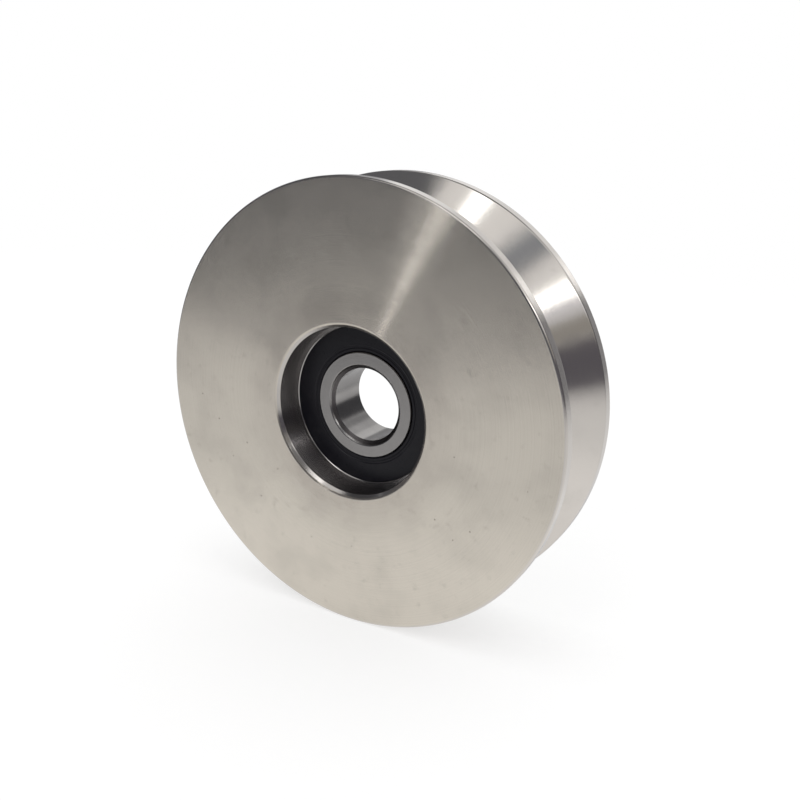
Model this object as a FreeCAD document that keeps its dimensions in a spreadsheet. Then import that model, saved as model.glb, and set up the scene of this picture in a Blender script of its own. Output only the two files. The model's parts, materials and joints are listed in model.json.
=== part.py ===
import FreeCAD, Part
import math
import os
from types import SimpleNamespace

import Sketcher

# A sliding gate wheel: a steel disc with a V groove round its rim for the track, and one sealed ball
# bearing in a stepped bore. The origin is the wheel's centre, the axle runs along Y, and the recessed
# front face looks towards -Y. The bearing goes in from the rear, stops on a shoulder, and a spring ring
# keeps it there.

# Driving sizes in millimetres, degrees or pieces: name, number, what it measures.
DRIVING_SIZES = [
    ("wheel_diameter", 120.0, "across the two rim lands"),
    ("wheel_width", 30.0, "face to face"),
    ("rim_edge_radius", 0.6, "on the outer edges of the rim"),
    ("land_width", 3.5, "from a face to the groove's mouth"),
    ("groove_angle", 90.0, "between the walls of the V groove"),
    ("groove_root_radius", 2.0, "at the bottom of the V groove"),
    ("groove_edge_radius", 1.0, "on the two edges of the groove's mouth"),
    ("recess_depth", 8.0, "from the front face to the bearing"),
    ("shoulder_height", 1.0, "radial step that stops the bearing"),
    ("mouth_chamfer", 1.0, "at both mouths of the bore"),
    ("bearing_bore", 20.0, "diameter of the axle hole"),
    ("bearing_outside", 47.0, "diameter of the outer ring and its seat"),
    ("bearing_width", 14.0, "along the axle"),
    ("bearing_corner", 0.6, "chamfer on the outer ring's outside"),
    ("bore_chamfer", 1.2, "at both ends of the axle hole"),
    ("ring_edge_break", 0.2, "on the edges beside the seals"),
    ("inner_shoulder_drop", 2.3, "from the pitch circle to the inner ring's shoulder"),
    ("outer_shoulder_rise", 2.65, "from the pitch circle to the outer ring's shoulder"),
    ("ball_diameter", 7.938, "of each ball"),
    ("ball_count", 8, "balls in the bearing"),
    ("ball_clearance", 0.03, "from a ball to the bottom of each raceway"),
    ("race_conformity", 0.52, "raceway radius over ball diameter"),
    ("seal_mouth_wall", 2.0, "wall of the outer ring round the seal"),
    ("seal_recess", 0.3, "from a ring face down to the seal"),
    ("seal_snap_depth", 0.6, "from a ring face to the undercut that holds the seal"),
    ("seal_undercut", 0.4, "radial depth of that undercut"),
    ("seal_seat_depth", 1.2, "from a ring face to the step that the seal sits on"),
    ("seal_fit", 0.03, "between the seal and the outer ring"),
    ("seal_lip_clearance", 0.1, "between the lip and the inner ring"),
    ("seal_lip_bevel", 0.3, "on the lip's front edge"),
    ("seal_rib_width", 0.9, "radial width of the lip's rib and of the seat's rib"),
    ("seal_relief", 0.3, "hollow behind the seal's web"),
    ("seal_channel_start", 0.9, "from the lip to the channel in the seal's outer side"),
    ("seal_channel_width", 0.9, "radial width of that channel"),
    ("seal_channel_depth", 0.18, "of that channel, with sloping sides"),
    ("cage_sheet", 0.6, "thickness of the cage's sheet steel"),
    ("cage_band", 2.9, "radial width of the cage"),
    ("pocket_clearance", 0.1, "between a ball and its pocket"),
    ("rivet_shank", 1.2, "diameter of a cage rivet"),
    ("rivet_head", 2.0, "diameter of its heads"),
    ("rivet_head_height", 0.45, "of its domed heads"),
    ("rivet_clearance", 0.02, "between a shank and its hole"),
    ("ring_groove_depth", 1.25, "radial depth of the spring ring's groove"),
    ("ring_groove_width", 1.85, "along the axle"),
    ("ring_thickness", 1.75, "of the spring ring, along the axle"),
    ("ring_fit", 0.05, "between the spring ring and its groove's bottom"),
    ("ring_band_back", 4.4, "radial width opposite the gap"),
    ("ring_band_ends", 2.6, "radial width beside the lugs"),
    ("ring_gap", 6.0, "between the two lugs"),
    ("lug_width", 5.4, "of each lug"),
    ("lug_reach", 6.4, "from the ring's outside to the lug's tip"),
    ("lug_hole", 2.5, "diameter of the pliers' hole"),
]

# Two heights closer than this are one height.
SAME_PLACE = 1e-6

doc = FreeCAD.newDocument("SlidingGateWheel")
sheet = doc.addObject("Spreadsheet::Sheet", "Sizes")
for row, (name, number, note) in enumerate(DRIVING_SIZES, start=1):
    sheet.set(f"A{row}", note)
    sheet.set(f"B{row}", str(number))
    sheet.setAlias(f"B{row}", name)
doc.recompute()


class Size:
    """A number together with the sheet formula that gives it, so one expression draws and drives."""

    def __init__(self, number, formula):
        self.number = number
        self.formula = formula

    def __add__(self, other):
        other = as_size(other)
        return Size(self.number + other.number, f"({self.formula} + {other.formula})")

    def __sub__(self, other):
        other = as_size(other)
        return Size(self.number - other.number, f"({self.formula} - {other.formula})")

    def __mul__(self, other):
        other = as_size(other)
        return Size(self.number * other.number, f"({self.formula} * {other.formula})")

    def __truediv__(self, other):
        other = as_size(other)
        return Size(self.number / other.number, f"({self.formula} / {other.formula})")

    def __neg__(self):
        return Size(-self.number, f"(-1 * {self.formula})")


def as_size(value):
    """A plain number counts as a size that no cell changes."""
    return value if isinstance(value, Size) else Size(float(value), str(float(value)))


def root(size):
    return Size(math.sqrt(size.number), f"sqrt({size.formula})")


def tangent(angle):
    return Size(math.tan(math.radians(angle.number)), f"tan({angle.formula})")


size = SimpleNamespace(**{name: Size(sheet.get(name), f"Sizes.{name}") for name, _, _ in DRIVING_SIZES})

# Places shared by several pieces. Radii are from the axle, heights along it.
rim_radius = size.wheel_diameter / 2
half_width = size.wheel_width / 2
seat_radius = size.bearing_outside / 2
recess_radius = seat_radius - size.shoulder_height
ring_groove_radius = seat_radius + size.ring_groove_depth
bore_radius = size.bearing_bore / 2
half_bearing = size.bearing_width / 2
bearing_front = size.recess_depth - half_width
bearing_height = bearing_front + half_bearing
bearing_rear = bearing_front + size.bearing_width

ball_radius = size.ball_diameter / 2
pitch_radius = (size.bearing_bore + size.bearing_outside) / 4
inner_shoulder = pitch_radius - size.inner_shoulder_drop
outer_shoulder = pitch_radius + size.outer_shoulder_rise
race_radius = size.ball_diameter * size.race_conformity
race_shift = race_radius - ball_radius - size.ball_clearance
ball_step = as_size(360) / size.ball_count

seal_mouth = seat_radius - size.seal_mouth_wall
seal_seat = seal_mouth + size.seal_undercut

pocket_radius = ball_radius + size.pocket_clearance
dome_radius = pocket_radius + size.cage_sheet
cage_inside = pitch_radius - size.cage_band / 2
cage_outside = pitch_radius + size.cage_band / 2


def origin_feature(body, role):
    return next(feature for feature in body.Origin.OriginFeatures if feature.Role == role)


def new_body(label):
    body = doc.addObject("PartDesign::Body", label)
    body.Label = label
    return body


def new_sketch(body, name, plane):
    sketch = body.newObject("Sketcher::SketchObject", name)
    sketch.AttachmentSupport = [(origin_feature(body, plane), "")]
    sketch.MapMode = "FlatFace"
    return sketch


def drive(sketch, formula, *constraint):
    """Adds a constraint and binds its value to the sheet."""
    index = sketch.addConstraint(Sketcher.Constraint(*constraint))
    sketch.setExpression(f"Constraints[{index}]", formula)


def pin(sketch, geometry, point, across, up):
    """Holds one point of a sketch at its distances from the sketch's origin."""
    for kind, axis, distance in (("DistanceX", -2, as_size(across)), ("DistanceY", -1, as_size(up))):
        if distance.number == 0:
            sketch.addConstraint(Sketcher.Constraint("PointOnObject", geometry, point, axis))
        elif distance.number > 0:
            drive(sketch, distance.formula, kind, -1, 1, geometry, point, distance.number)
        else:
            opposite = -distance
            drive(sketch, opposite.formula, kind, geometry, point, -1, 1, opposite.number)


def arc_between(start, end, radius):
    """The shorter arc from start to end, bulging to the right of the way there."""
    chord = end - start
    left = FreeCAD.Vector(-chord.y, chord.x, 0).normalize()
    centre = (start + end) / 2 + left * math.sqrt(radius**2 - (chord.Length / 2) ** 2)
    return Part.ArcOfCircle(start, centre - left * radius, end)


def draw_outline(sketch, corners, arcs=None):
    """A closed outline, counter-clockwise; arcs gives the radius of each side that is round."""
    arcs = arcs or {}
    points = [FreeCAD.Vector(as_size(across).number, as_size(up).number, 0) for across, up in corners]
    sides = []
    for index, start in enumerate(points):
        end = points[(index + 1) % len(points)]
        if index in arcs:
            sides.append(sketch.addGeometry(arc_between(start, end, arcs[index].number)))
        else:
            sides.append(sketch.addGeometry(Part.LineSegment(start, end)))
    for index, side in enumerate(sides):
        following = sides[(index + 1) % len(sides)]
        sketch.addConstraint(Sketcher.Constraint("Coincident", side, 2, following, 1))
    for index, side in enumerate(sides):
        pin(sketch, side, 1, *corners[index])
        if index in arcs:
            drive(sketch, arcs[index].formula, "Radius", side, arcs[index].number)


def draw_circle(sketch, across, up, radius):
    centre = FreeCAD.Vector(as_size(across).number, as_size(up).number, 0)
    circle = sketch.addGeometry(Part.Circle(centre, FreeCAD.Vector(0, 0, 1), radius.number))
    pin(sketch, circle, 3, across, up)
    drive(sketch, radius.formula, "Radius", circle, radius.number)


def draw_axis(sketch, across, height):
    """A construction line parallel to the axle, to revolve about."""
    start = FreeCAD.Vector(across.number, 0, 0)
    line = sketch.addGeometry(Part.LineSegment(start, start + FreeCAD.Vector(0, height.number, 0)), True)
    pin(sketch, line, 1, across, 0)
    pin(sketch, line, 2, across, height)


def revolve(body, name, sketch, axis="V_Axis"):
    feature = body.newObject("PartDesign::Revolution", name)
    feature.Profile = sketch
    feature.ReferenceAxis = (sketch, [axis])
    doc.recompute()
    return feature


def must_remove(feature, before):
    """A cut that misses the solid raises no error of its own, so the volumes are compared."""
    if feature.Shape.Volume >= before:
        raise RuntimeError(f"{feature.Name} cuts nothing")
    return feature


def turn_away(body, name, sketch, axis="V_Axis"):
    """Cuts what the sketch sweeps round its axis, as a lathe tool does."""
    before = body.Tip.Shape.Volume
    feature = body.newObject("PartDesign::Groove", name)
    feature.Profile = sketch
    feature.ReferenceAxis = (sketch, [axis])
    doc.recompute()
    return must_remove(feature, before)


def turn_step(body, name, inside, outside, start, end):
    """Bores a round step between two radii and two heights."""
    low, high = (start, end) if start.number < end.number else (end, start)
    sketch = new_sketch(body, f"{name}_profile", "XY_Plane")
    draw_outline(sketch, [(inside, low), (outside, low), (outside, high), (inside, high)])
    return turn_away(body, name, sketch)


def ring_edges(feature, radius, heights):
    """Names of the round edges of this radius at these heights along the axle."""
    names = []
    for number, edge in enumerate(feature.Shape.Edges, start=1):
        if isinstance(edge.Curve, Part.Circle) and math.isclose(edge.Curve.Radius, radius.number):
            if any(abs(edge.Curve.Center.y - height.number) < SAME_PLACE for height in heights):
                names.append(f"Edge{number}")
    return names


def dress_edges(body, kind, name, edges, amount):
    """A Chamfer or a Fillet on the named edges of the body's last feature."""
    feature = body.newObject(f"PartDesign::{kind}", name)
    feature.Base = (feature.BaseFeature, edges)
    feature.setExpression("Size" if kind == "Chamfer" else "Radius", amount.formula)
    doc.recompute()
    return feature


def repeat_round(body, name, feature):
    """One copy of the feature for each ball, evenly round the axle."""
    pattern = body.newObject("PartDesign::PolarPattern", name)
    pattern.Originals = [feature]
    pattern.Axis = (origin_feature(body, "Y_Axis"), [""])
    pattern.Angle = 360
    pattern.setExpression("Occurrences", size.ball_count.formula)
    body.Tip = pattern
    doc.recompute()
    return pattern


def place(item, height, turned=False):
    """Puts a piece at its height along the axle; turned swaps its front and its rear."""
    half_turn = FreeCAD.Rotation(FreeCAD.Vector(1, 0, 0), 180 if turned else 0)
    item.Placement = FreeCAD.Placement(FreeCAD.Vector(0, height.number, 0), half_turn)
    item.setExpression("Placement.Base.y", height.formula)
    return item


def turn_between_balls(item, placement, height):
    """Turns a sketch or a piece about the axle to stand midway between two balls, at a height."""
    half_step = ball_step / 2
    turned = FreeCAD.Rotation(FreeCAD.Vector(0, 1, 0), half_step.number)
    setattr(item, placement, FreeCAD.Placement(FreeCAD.Vector(0, height.number, 0), turned))
    item.setExpression(f"{placement}.Base.y", height.formula)
    item.setExpression(f"{placement}.Rotation.Angle", half_step.formula)


def make_wheel_body():
    """The disc is turned from a blank: rim edges, track groove, bearing seat, ring groove and mouths."""
    body = new_body("wheel_body")
    blank = new_sketch(body, "blank_profile", "XY_Plane")
    draw_outline(
        blank,
        [
            (recess_radius, -half_width),
            (rim_radius, -half_width),
            (rim_radius, half_width),
            (recess_radius, half_width),
        ],
    )
    disc = revolve(body, "blank", blank)
    outer_edges = ring_edges(disc, rim_radius, [-half_width, half_width])
    dress_edges(body, "Fillet", "rim_edges", outer_edges, size.rim_edge_radius)

    slope = tangent(size.groove_angle / 2)
    half_mouth = half_width - size.land_width
    sharp_root = rim_radius - half_mouth / slope
    overrun = size.land_width
    groove = new_sketch(body, "track_groove_profile", "XY_Plane")
    draw_outline(
        groove,
        [
            (sharp_root, 0),
            (rim_radius + overrun, -half_mouth - overrun * slope),
            (rim_radius + overrun, half_mouth + overrun * slope),
        ],
    )
    cut = turn_away(body, "track_groove", groove)
    root_edge = ring_edges(cut, sharp_root, [as_size(0)])
    rounded = dress_edges(body, "Fillet", "groove_root", root_edge, size.groove_root_radius)
    mouth_edges = ring_edges(rounded, rim_radius, [-half_mouth, half_mouth])
    dress_edges(body, "Fillet", "groove_edges", mouth_edges, size.groove_edge_radius)

    turn_step(body, "bearing_seat", recess_radius, seat_radius, bearing_front, half_width)
    groove_rear = bearing_rear + size.ring_groove_width
    bored = turn_step(body, "ring_groove", recess_radius, ring_groove_radius, bearing_rear, groove_rear)
    mouths = ring_edges(bored, recess_radius, [-half_width]) + ring_edges(bored, seat_radius, [half_width])
    dress_edges(body, "Chamfer", "mouth_chamfers", mouths, size.mouth_chamfer)
    return body


def make_race(body, centre):
    """The ball track: a round groove whose section is a circle a little larger than the ball."""
    sketch = new_sketch(body, "race_profile", "XY_Plane")
    draw_circle(sketch, centre, 0, race_radius)
    return turn_away(body, "race", sketch)


def make_outer_ring():
    body = new_body("bearing_outer_ring")
    blank = new_sketch(body, "blank_profile", "XY_Plane")
    corner = size.bearing_corner
    draw_outline(
        blank,
        [
            (outer_shoulder, -half_bearing),
            (seat_radius - corner, -half_bearing),
            (seat_radius, corner - half_bearing),
            (seat_radius, half_bearing - corner),
            (seat_radius - corner, half_bearing),
            (outer_shoulder, half_bearing),
        ],
    )
    revolve(body, "blank", blank)
    make_race(body, pitch_radius - race_shift)
    for side, sign in (("front", -1), ("rear", 1)):
        face = half_bearing * sign
        step = (half_bearing - size.seal_seat_depth) * sign
        snap = (half_bearing - size.seal_snap_depth) * sign
        turn_step(body, f"{side}_seal_mouth", outer_shoulder, seal_mouth, step, face)
        turn_step(body, f"{side}_seal_undercut", outer_shoulder, seal_seat, step, snap)
    mouths = ring_edges(body.Tip, seal_mouth, [-half_bearing, half_bearing])
    dress_edges(body, "Chamfer", "mouth_edges", mouths, size.ring_edge_break)
    return place(body, bearing_height)


def make_inner_ring():
    body = new_body("bearing_inner_ring")
    blank = new_sketch(body, "blank_profile", "XY_Plane")
    chamfer = size.bore_chamfer
    draw_outline(
        blank,
        [
            (bore_radius, chamfer - half_bearing),
            (bore_radius + chamfer, -half_bearing),
            (inner_shoulder, -half_bearing),
            (inner_shoulder, half_bearing),
            (bore_radius + chamfer, half_bearing),
            (bore_radius, half_bearing - chamfer),
        ],
    )
    revolve(body, "blank", blank)
    race = make_race(body, pitch_radius + race_shift)
    shoulders = ring_edges(race, inner_shoulder, [-half_bearing, half_bearing])
    dress_edges(body, "Chamfer", "shoulder_edges", shoulders, size.ring_edge_break)
    return place(body, bearing_height)


def make_seal(label, turned):
    """A moulded rubber washer: a rib snapped into the outer ring, a thin web, and a lip by the inner one.

    A shallow channel beside the lip lets it bend.
    """
    body = new_body(label)
    front = half_bearing - size.seal_recess
    back = half_bearing - size.seal_seat_depth
    snap = half_bearing - size.seal_snap_depth
    lip = inner_shoulder + size.seal_lip_clearance
    mouth = seal_mouth - size.seal_fit
    rim = seal_seat - size.seal_fit
    web_back = back + size.seal_relief
    web_inside = lip + size.seal_rib_width
    web_outside = outer_shoulder + size.seal_rib_width
    channel_inside = lip + size.seal_channel_start
    channel_outside = channel_inside + size.seal_channel_width
    channel_floor = front - size.seal_channel_depth
    profile = new_sketch(body, "seal_profile", "XY_Plane")
    draw_outline(
        profile,
        [
            (lip, back),
            (web_inside, back),
            (web_inside + size.seal_relief, web_back),
            (web_outside - size.seal_relief, web_back),
            (web_outside, back),
            (rim, back),
            (rim, snap),
            (mouth, snap),
            (mouth, front),
            (channel_outside, front),
            (channel_outside - size.seal_channel_depth, channel_floor),
            (channel_inside + size.seal_channel_depth, channel_floor),
            (channel_inside, front),
            (lip + size.seal_lip_bevel, front),
            (lip, front - size.seal_lip_bevel),
        ],
    )
    revolve(body, "seal", profile)
    return place(body, bearing_height, turned)


def make_ball(number):
    ball = doc.addObject("Part::Sphere", f"ball_{number}")
    ball.Label = f"ball_{number}"
    ball.setExpression("Radius", ball_radius.formula)
    angle = ball_step * (number - 1)
    ball.setExpression("Placement.Base.x", f"{pitch_radius.formula} * cos({angle.formula})")
    ball.setExpression("Placement.Base.y", bearing_height.formula)
    ball.setExpression("Placement.Base.z", f"{pitch_radius.formula} * sin({angle.formula})")
    return ball


def quarter_disc(body, name, radius):
    """Half the section of a ball pocket, with the ball's own axis to revolve it about."""
    sketch = new_sketch(body, name, "XY_Plane")
    draw_outline(
        sketch,
        [(pitch_radius, 0), (pitch_radius + radius, 0), (pitch_radius, radius)],
        arcs={1: radius},
    )
    draw_axis(sketch, pitch_radius, radius)
    return sketch


def make_cage_half(label, turned):
    """A pressed ribbon: a flat washer with one spherical pocket for each ball, trimmed to a narrow band."""
    body = new_body(label)
    flat = new_sketch(body, "flat_profile", "XY_Plane")
    draw_outline(
        flat,
        [
            (cage_inside, 0),
            (cage_outside, 0),
            (cage_outside, size.cage_sheet),
            (cage_inside, size.cage_sheet),
        ],
    )
    revolve(body, "flat", flat)
    dome = revolve(body, "dome", quarter_disc(body, "dome_profile", dome_radius), "Axis0")
    repeat_round(body, "domes", dome)
    pocket = turn_away(body, "pocket", quarter_disc(body, "pocket_profile", pocket_radius), "Axis0")
    repeat_round(body, "pockets", pocket)
    above = dome_radius + size.cage_sheet
    turn_step(body, "outside_trim", cage_outside, pitch_radius + above, as_size(0), above)
    turn_step(body, "inside_trim", pitch_radius - above, cage_inside, as_size(0), above)

    hole = new_sketch(body, "rivet_hole_profile", "XY_Plane")
    turn_between_balls(hole, "AttachmentOffset", as_size(0))
    hole_radius = size.rivet_shank / 2 + size.rivet_clearance
    draw_outline(
        hole,
        [
            (pitch_radius, 0),
            (pitch_radius + hole_radius, 0),
            (pitch_radius + hole_radius, above),
            (pitch_radius, above),
        ],
    )
    draw_axis(hole, pitch_radius, above)
    repeat_round(body, "rivet_holes", turn_away(body, "rivet_hole", hole, "Axis0"))
    return place(body, bearing_height, turned)


def make_cage_rivets():
    """A shank through both sheets with a domed head on each side, repeated between the balls."""
    body = new_body("cage_rivets")
    body.AllowCompound = True
    shank = pitch_radius + size.rivet_shank / 2
    head = pitch_radius + size.rivet_head / 2
    tip = size.cage_sheet + size.rivet_head_height
    head_radius = size.rivet_head / 2
    dome = (head_radius * head_radius + size.rivet_head_height * size.rivet_head_height) / (
        size.rivet_head_height * 2
    )
    profile = new_sketch(body, "rivet_profile", "XY_Plane")
    draw_outline(
        profile,
        [
            (pitch_radius, -tip),
            (head, -size.cage_sheet),
            (shank, -size.cage_sheet),
            (shank, size.cage_sheet),
            (head, size.cage_sheet),
            (pitch_radius, tip),
        ],
        arcs={0: dome, 4: dome},
    )
    draw_axis(profile, pitch_radius, tip)
    repeat_round(body, "rivets", revolve(body, "rivet", profile, "Axis0"))
    turn_between_balls(body, "Placement", bearing_height)
    return body


def extrude(body, name, sketch, kind):
    """Pads or pockets a sketch drawn across the axle by the spring ring's thickness, towards the rear."""
    feature = body.newObject(f"PartDesign::{kind}", name)
    feature.Profile = sketch
    feature.Reversed = kind == "Pad"
    feature.setExpression("Length", size.ring_thickness.formula)
    doc.recompute()
    return feature


def make_retaining_ring():
    """An internal spring ring: an eccentric band, a gap at the top, and a lug with a hole at each end."""
    body = new_body("retaining_ring")
    outside = ring_groove_radius - size.ring_fit
    inside = outside - (size.ring_band_back + size.ring_band_ends) / 2
    eccentricity = (size.ring_band_back - size.ring_band_ends) / 2
    band = new_sketch(body, "band_outline", "XZ_Plane")
    draw_circle(band, 0, 0, outside)
    draw_circle(band, 0, eccentricity, inside)
    extrude(body, "band", band, "Pad")

    near_side = size.ring_gap / 2
    lug_radius = size.lug_width / 2
    lug_middle = near_side + lug_radius
    far_side = near_side + size.lug_width
    lug_centre = outside - size.lug_reach + lug_radius
    within_band = outside - size.ring_band_ends / 2
    lug_top = root(within_band * within_band - far_side * far_side)
    lug_outline = new_sketch(body, "lug_outline", "XZ_Plane")
    draw_outline(
        lug_outline,
        [
            (lug_middle, lug_centre - lug_radius),
            (far_side, lug_centre),
            (far_side, lug_top),
            (near_side, lug_top),
            (near_side, lug_centre),
        ],
        arcs={0: lug_radius, 4: lug_radius},
    )
    lug = extrude(body, "lug", lug_outline, "Pad")
    mirror = body.newObject("PartDesign::Mirrored", "lugs")
    mirror.Originals = [lug]
    mirror.MirrorPlane = (origin_feature(body, "YZ_Plane"), [""])
    body.Tip = mirror
    doc.recompute()

    gap = new_sketch(body, "gap_outline", "XZ_Plane")
    draw_outline(
        gap,
        [
            (-near_side, lug_centre - lug_radius),
            (near_side, lug_centre - lug_radius),
            (near_side, outside + size.ring_fit),
            (-near_side, outside + size.ring_fit),
        ],
    )
    before = body.Tip.Shape.Volume
    must_remove(extrude(body, "gap", gap, "Pocket"), before)

    holes = new_sketch(body, "hole_outlines", "XZ_Plane")
    draw_circle(holes, lug_middle, lug_centre, size.lug_hole / 2)
    draw_circle(holes, -lug_middle, lug_centre, size.lug_hole / 2)
    before = body.Tip.Shape.Volume
    must_remove(extrude(body, "holes", holes, "Pocket"), before)
    return place(body, bearing_rear)


def make_all():
    pieces = [make_wheel_body(), make_outer_ring(), make_inner_ring()]
    pieces += [make_seal("front_seal", True), make_seal("rear_seal", False)]
    pieces += [make_ball(number) for number in range(1, round(size.ball_count.number) + 1)]
    pieces += [make_cage_half("cage_front", True), make_cage_half("cage_rear", False)]
    pieces += [make_cage_rivets(), make_retaining_ring()]
    doc.recompute()
    return pieces


def check(pieces):
    """Nothing is written unless every feature worked and every piece is a sound solid."""
    for item in doc.Objects:
        if "Invalid" in item.State or "Error" in item.State:
            raise RuntimeError(f"{item.Label} failed: {item.State}")
    for piece in pieces:
        wanted = round(size.ball_count.number) if piece.Label == "cage_rivets" else 1
        if piece.Shape.isNull() or not piece.Shape.isValid() or len(piece.Shape.Solids) != wanted:
            raise RuntimeError(f"{piece.Label} is not a sound piece")


def write(pieces):
    os.makedirs("parts", exist_ok=True)
    for piece in pieces:
        piece.Shape.exportStep(f"parts/{piece.Label}.step")
        print(f"{piece.Label}: {piece.Shape.Volume:.1f} mm3")


finished = make_all()
check(finished)
write(finished)
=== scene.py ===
# %% [markdown]
# A sliding gate wheel
#
# The wheel that carries a sliding gate along its track: a steel disc with a V groove round its rim, and
# one sealed ball bearing in a stepped bore. Almost every visible surface was made on a lathe or a
# grinder, so the lesson turns one section about the axle for each round piece, and then gives each
# surface the marks that its own tool leaves. The construction comes in as a fixed frame, in metres,
# with the axle along Y and +Z up.

# %% Load the frame
import json
import math

import bpy
import numpy as np
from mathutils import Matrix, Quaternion, Vector


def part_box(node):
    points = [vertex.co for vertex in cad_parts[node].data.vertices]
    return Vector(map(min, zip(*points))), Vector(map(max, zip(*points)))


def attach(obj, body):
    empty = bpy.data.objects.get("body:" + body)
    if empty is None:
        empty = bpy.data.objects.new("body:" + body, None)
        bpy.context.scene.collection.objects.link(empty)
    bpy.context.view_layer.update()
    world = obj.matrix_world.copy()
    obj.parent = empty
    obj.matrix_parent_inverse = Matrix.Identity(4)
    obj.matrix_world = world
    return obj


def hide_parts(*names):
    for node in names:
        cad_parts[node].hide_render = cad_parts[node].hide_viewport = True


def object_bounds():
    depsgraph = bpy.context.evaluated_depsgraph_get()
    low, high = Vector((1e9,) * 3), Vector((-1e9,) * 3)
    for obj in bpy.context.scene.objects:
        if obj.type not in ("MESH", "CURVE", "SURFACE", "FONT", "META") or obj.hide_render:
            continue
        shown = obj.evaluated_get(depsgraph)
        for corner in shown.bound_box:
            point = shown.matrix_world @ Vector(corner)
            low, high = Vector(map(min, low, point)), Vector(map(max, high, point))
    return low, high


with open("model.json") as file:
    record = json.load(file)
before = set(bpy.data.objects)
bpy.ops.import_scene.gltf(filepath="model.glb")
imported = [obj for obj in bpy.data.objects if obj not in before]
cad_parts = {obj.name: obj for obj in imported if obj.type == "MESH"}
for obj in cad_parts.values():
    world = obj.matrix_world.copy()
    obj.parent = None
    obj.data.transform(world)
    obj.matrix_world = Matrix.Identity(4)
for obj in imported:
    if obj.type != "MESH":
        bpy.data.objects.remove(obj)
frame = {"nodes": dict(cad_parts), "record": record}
cad_low, cad_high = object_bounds()
MM = 0.001
print("frame box in mm:", [round(side / MM, 2) for side in cad_high - cad_low])

# %% [markdown]
# Sizes from the frame
#
# A piece that is drawn again has to fit the construction, so its main sizes are read from the frame's
# boxes and from the record, and never guessed twice. The small steps that a box can't show are named
# later, each beside the piece that has it.

# %% Read the main sizes
_, wheel_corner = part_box("wheel_body")
_, bearing_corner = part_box("bearing_outer_ring")
_, shoulder_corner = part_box("bearing_inner_ring")
_, seal_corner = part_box("rear_seal")
ball_low, ball_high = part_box("ball_1")
axle_bore = next(mount for mount in frame["record"]["mounts"] if mount["name"] == "axle_bore")

rim_radius = wheel_corner.x
half_width = wheel_corner.y
seat_radius = bearing_corner.x
half_bearing = bearing_corner.y
inner_shoulder = shoulder_corner.x
seal_front = seal_corner.y
pitch_radius = (ball_low.x + ball_high.x) / 2
ball_radius = (ball_high.x - ball_low.x) / 2
bore_radius = axle_bore["dims"]["r_mm"] * MM
print("rim, seat, bore radius in mm:", [round(r / MM, 2) for r in (rim_radius, seat_radius, bore_radius)])

# %% [markdown]
# Eased corners
#
# No real edge is perfectly sharp: a turned edge keeps a small round that catches the light, and without
# it metal looks like a drawing. A bevel modifier could round the edges after a section is turned. Here
# the rounds are put into the section itself, as arcs that leave the straight runs smoothly, because an
# arc also gives the exact normal and says where the edge is, and both are useful later.

# %% Ease a corner
ARC_STEP = math.radians(9)
FEWEST_ARC_STEPS = 3


def quarter_left(way):
    """A direction in the section's plane, turned a quarter to the left."""
    return np.array([-way[1], way[0]])


def eased_corner(place, way_in, way_out, easing):
    """Points and headings round one corner of a section.

    The circle of radius `easing` touches both runs at easing * tan(half the turn) from the corner. A point
    on it is: start + easing * (sin a along the way in, and 1 - cos a towards the side that the section turns
    to), with the angle a going from 0 to the whole turn.
    """
    turn = math.atan2(way_in[0] * way_out[1] - way_in[1] * way_out[0], float(way_in @ way_out))
    start = place - way_in * easing * math.tan(abs(turn) / 2)
    steps = max(FEWEST_ARC_STEPS, math.ceil(abs(turn) / ARC_STEP))
    angle = np.linspace(0, turn, steps + 1)[:, None]
    side = quarter_left(way_in)
    sweep = np.sin(np.abs(angle)) * way_in + np.sign(turn) * (1 - np.cos(angle)) * side
    return start + easing * sweep, np.cos(angle) * way_in + np.sin(angle) * side


# %% [markdown]
# A closed section
#
# Between two eased corners a section runs straight. A straight run needs only its two ends, but here it
# also has a point close to each of them, so that what belongs to an edge, such as its wear, fades out
# within a fraction of a millimetre. Long runs have a few points more, which keeps the quads of a wide
# face in shape.

# %% Close a section
LONGEST_RUN = 4 * MM
EDGE_REACH = 0.3 * MM
SHARP_EDGE = 0.4 * MM


def straight_run(start, end, way):
    """Points between two corners: one close to each end, a third along if the run is short, and the rest
    evenly spaced between those two."""
    length = np.linalg.norm(end - start)
    reach = min(EDGE_REACH, length / 3)
    count = math.ceil((length - 2 * reach) / LONGEST_RUN) + 1
    distance = np.linspace(reach, length - reach, count)[:, None]
    return start + distance * way, np.repeat(way[None], count, axis=0)


def section(corners):
    """A closed section, drawn counter-clockwise in (distance from the axle, height along it).

    Each corner is (distance, height, easing, finish), and the finish counts up to the next corner. Returns
    the points, their outward normals (the heading turned a quarter to the right), how far each lies along
    the section in millimetres, 1 on the eased edges and 0 elsewhere, and the finish behind each point.
    """
    places = np.array([corner[:2] for corner in corners])
    ways = np.roll(places, -1, axis=0) - places
    ways /= np.linalg.norm(ways, axis=1, keepdims=True)
    arcs = [eased_corner(places[i], ways[i - 1], ways[i], corners[i][2]) for i in range(len(corners))]
    stretches = []
    for i, (_, _, easing, finish) in enumerate(corners):
        next_arc = arcs[(i + 1) % len(arcs)]
        run = straight_run(arcs[i][0][-1], next_arc[0][0], ways[i])
        stretches.append((*arcs[i], float(easing < SHARP_EDGE), finish))
        stretches.append((*run, 0.0, finish))
    points, headings, edges, finishes = zip(*stretches)
    counts = [len(stretch) for stretch in points]
    points, headings = np.concatenate(points), np.concatenate(headings)
    steps = np.linalg.norm(np.diff(points, axis=0), axis=1)
    return {
        "points": points,
        "normals": np.stack([headings[:, 1], -headings[:, 0]], axis=1),
        "along": np.concatenate([[0.0], np.cumsum(steps)]) / MM,
        "edge": np.repeat(edges, counts),
        "finish": np.repeat(finishes, counts),
    }


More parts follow.
